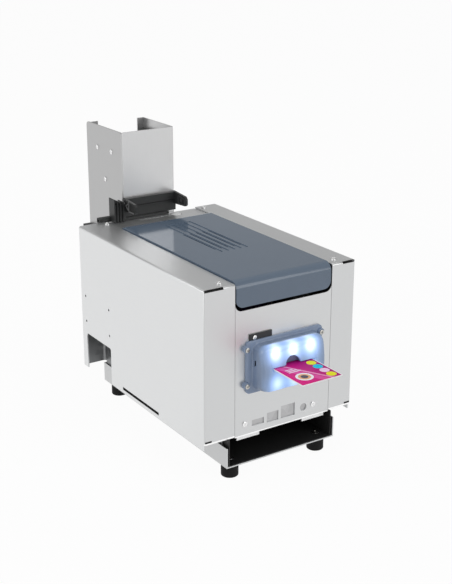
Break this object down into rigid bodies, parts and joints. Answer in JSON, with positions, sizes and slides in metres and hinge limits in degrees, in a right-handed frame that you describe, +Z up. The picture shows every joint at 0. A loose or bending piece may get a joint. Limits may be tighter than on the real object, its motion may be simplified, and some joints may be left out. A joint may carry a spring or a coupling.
{
  "type": "id card printer",
  "caption": "Desktop card printer in a folded steel casing with a hinged slate lid, lit exit bezel, rear card hopper and internal card drive.",
  "frame": {"origin": "middle of the bounding box's underside: the table, midway between the card's tip and the back of the feeder", "axes": "+X to the machine's right seen from the front, +Y from the front towards the back along the card path, +Z up"},
  "size_m": [0.2018, 0.467, 0.3388],
  "materials": {
    "casing_steel": "satin brushed sheet",
    "hopper_steel": "satin brushed sheet",
    "chassis_steel": "zinc grey sheet",
    "liner_film": "matt black insulating sheet",
    "foot_rubber": "matt",
    "bright_screw": "bright plated",
    "plain_screw": "plain steel",
    "circuit_board": "green laminate",
    "board_parts": "black moulded",
    "led_light": "lit white",
    "engine_plastic": "fine spark-eroded black",
    "feeder_plastic": "fine spark-eroded black",
    "tab_black": "matt black",
    "lid_plastic": "polished slate",
    "bezel_plastic": "translucent slate blue",
    "motor_steel": "plated",
    "pinion_brass": "machined",
    "gear_nylon": "natural nylon",
    "spool_plastic": "moulded",
    "roller_rubber": "ground",
    "bush_bronze": "sintered",
    "belt_rubber": "ribbed",
    "ribbon_colour": "inked film",
    "pin_steel": "ground",
    "bracket_steel": "plated",
    "head_aluminium": "anodised",
    "card_plastic": "printed and laminated",
    "knob_plastic": "moulded",
    "weight_steel": "dark grey"
  },
  "bodies": {
    "machine": {"left_side_panel": "casing_steel", "right_side_panel": "casing_steel", "front_panel": "casing_steel", "rear_strip": "casing_steel", "hopper_channel": "hopper_steel", "base_tray": "chassis_steel", "chassis_left": "chassis_steel", "chassis_right": "chassis_steel", "top_rails": "chassis_steel", "port_shield": "chassis_steel", "tray_liner": "liner_film", "rubber_feet": "foot_rubber", "casing_screws": "bright_screw", "front_screws": "bright_screw", "tab_screw": "bright_screw", "bezel_screws": "plain_screw", "hopper_screws": "plain_screw", "foot_screws": "plain_screw", "motor_screws": "plain_screw", "control_board": "circuit_board", "led_board": "circuit_board", "board_components": "board_parts", "status_leds": "led_light", "engine_base": "engine_plastic", "engine_frame_left": "engine_plastic", "engine_frame_right": "engine_plastic", "engine_rear_wall": "engine_plastic", "card_deck": "engine_plastic", "upper_deck": "engine_plastic", "feeder_body": "feeder_plastic", "feeder_frame": "feeder_plastic", "card_guide_left": "feeder_plastic", "card_guide_right": "feeder_plastic", "tab_plate": "tab_black", "bezel": "bezel_plastic", "drive_motor": "motor_steel", "roller_bushings": "bush_bronze", "drive_belt": "belt_rubber", "ribbon_film": "ribbon_colour", "hinge_pin": "pin_steel"},
    "lid": {"lid_cover": "lid_plastic", "head_bracket": "bracket_steel", "print_head": "head_aluminium"},
    "platen": {"platen_roller": "roller_rubber", "platen_gear": "gear_nylon"},
    "motor_shaft": {"motor_pinion": "pinion_brass"},
    "card": {"id_card": "card_plastic"},
    "exit_drive": {"exit_roller": "roller_rubber"},
    "transport_drive": {"transport_roller": "roller_rubber"},
    "exit_pinch": {"pinch_roller_exit": "roller_rubber"},
    "transport_pinch": {"pinch_roller_transport": "roller_rubber"},
    "feed_drive": {"feed_roller": "roller_rubber"},
    "supply_spool": {"ribbon_supply_core": "spool_plastic", "ribbon_supply_roll": "ribbon_colour"},
    "take_up_spool": {"ribbon_take_up_core": "spool_plastic", "ribbon_take_up_roll": "ribbon_colour"},
    "knob": {"thickness_knob": "knob_plastic"},
    "weight": {"card_weight": "weight_steel"}
  },
  "joints": [
    {"name": "lid_hinge", "type": "hinge", "parent": "machine", "child": "lid", "pos_m": [0, 0.0899, 0.2245], "axis": [-1, 0, 0], "range_deg": [0, 80]},
    {"name": "platen_spin", "type": "hinge", "parent": "machine", "child": "platen", "pos_m": [0, -0.0405, 0.12577], "axis": [-1, 0, 0], "range_deg": [0, 1098]},
    {"name": "motor_spin", "type": "hinge", "parent": "machine", "child": "motor_shaft", "pos_m": [0, -0.0405, 0.10057], "axis": [-1, 0, 0], "range_deg": [-2750, 0]},
    {"name": "card_slide", "type": "slide", "parent": "machine", "child": "card", "axis": [0, 1, 0], "range_m": [0, 0.115]},
    {"name": "exit_spin", "type": "hinge", "parent": "machine", "child": "exit_drive", "pos_m": [0, -0.15, 0.12577], "axis": [-1, 0, 0], "range_deg": [0, 1100]},
    {"name": "transport_spin", "type": "hinge", "parent": "machine", "child": "transport_drive", "pos_m": [0, 0.0415, 0.12577], "axis": [-1, 0, 0], "range_deg": [0, 1100]},
    {"name": "exit_pinch_spin", "type": "hinge", "parent": "machine", "child": "exit_pinch", "pos_m": [0, -0.15, 0.13713], "axis": [1, 0, 0], "range_deg": [0, 1468]},
    {"name": "transport_pinch_spin", "type": "hinge", "parent": "machine", "child": "transport_pinch", "pos_m": [0, 0.0415, 0.13713], "axis": [1, 0, 0], "range_deg": [0, 1468]},
    {"name": "feed_spin", "type": "hinge", "parent": "machine", "child": "feed_drive", "pos_m": [0, 0.1466, 0.12577], "axis": [-1, 0, 0], "continuous": true},
    {"name": "supply_spin", "type": "hinge", "parent": "machine", "child": "supply_spool", "pos_m": [0, -0.0865, 0.152], "axis": [1, 0, 0], "continuous": true},
    {"name": "take_up_spin", "type": "hinge", "parent": "machine", "child": "take_up_spool", "pos_m": [0, 0.0115, 0.152], "axis": [1, 0, 0], "continuous": true},
    {"name": "knob_turn", "type": "hinge", "parent": "machine", "child": "knob", "pos_m": [0.033, 0.1215, 0.22], "axis": [0, 0, 1], "range_deg": [-90, 90]},
    {"name": "weight_slide", "type": "slide", "parent": "machine", "child": "weight", "axis": [0, 0, 1], "range_m": [0, 0.17]}
  ],
  "couplings": [
    {"joint": "motor_spin", "follows": "platen_spin", "ratio": -2.5},
    {"joint": "card_slide", "follows": "platen_spin", "m_per_rad": 0.006},
    {"joint": "exit_spin", "follows": "platen_spin", "ratio": 1},
    {"joint": "transport_spin", "follows": "platen_spin", "ratio": 1},
    {"joint": "exit_pinch_spin", "follows": "platen_spin", "ratio": 1.3333},
    {"joint": "transport_pinch_spin", "follows": "platen_spin", "ratio": 1.3333},
    {"joint": "take_up_spin", "follows": "supply_spin", "ratio": 1.6364}
  ]
}
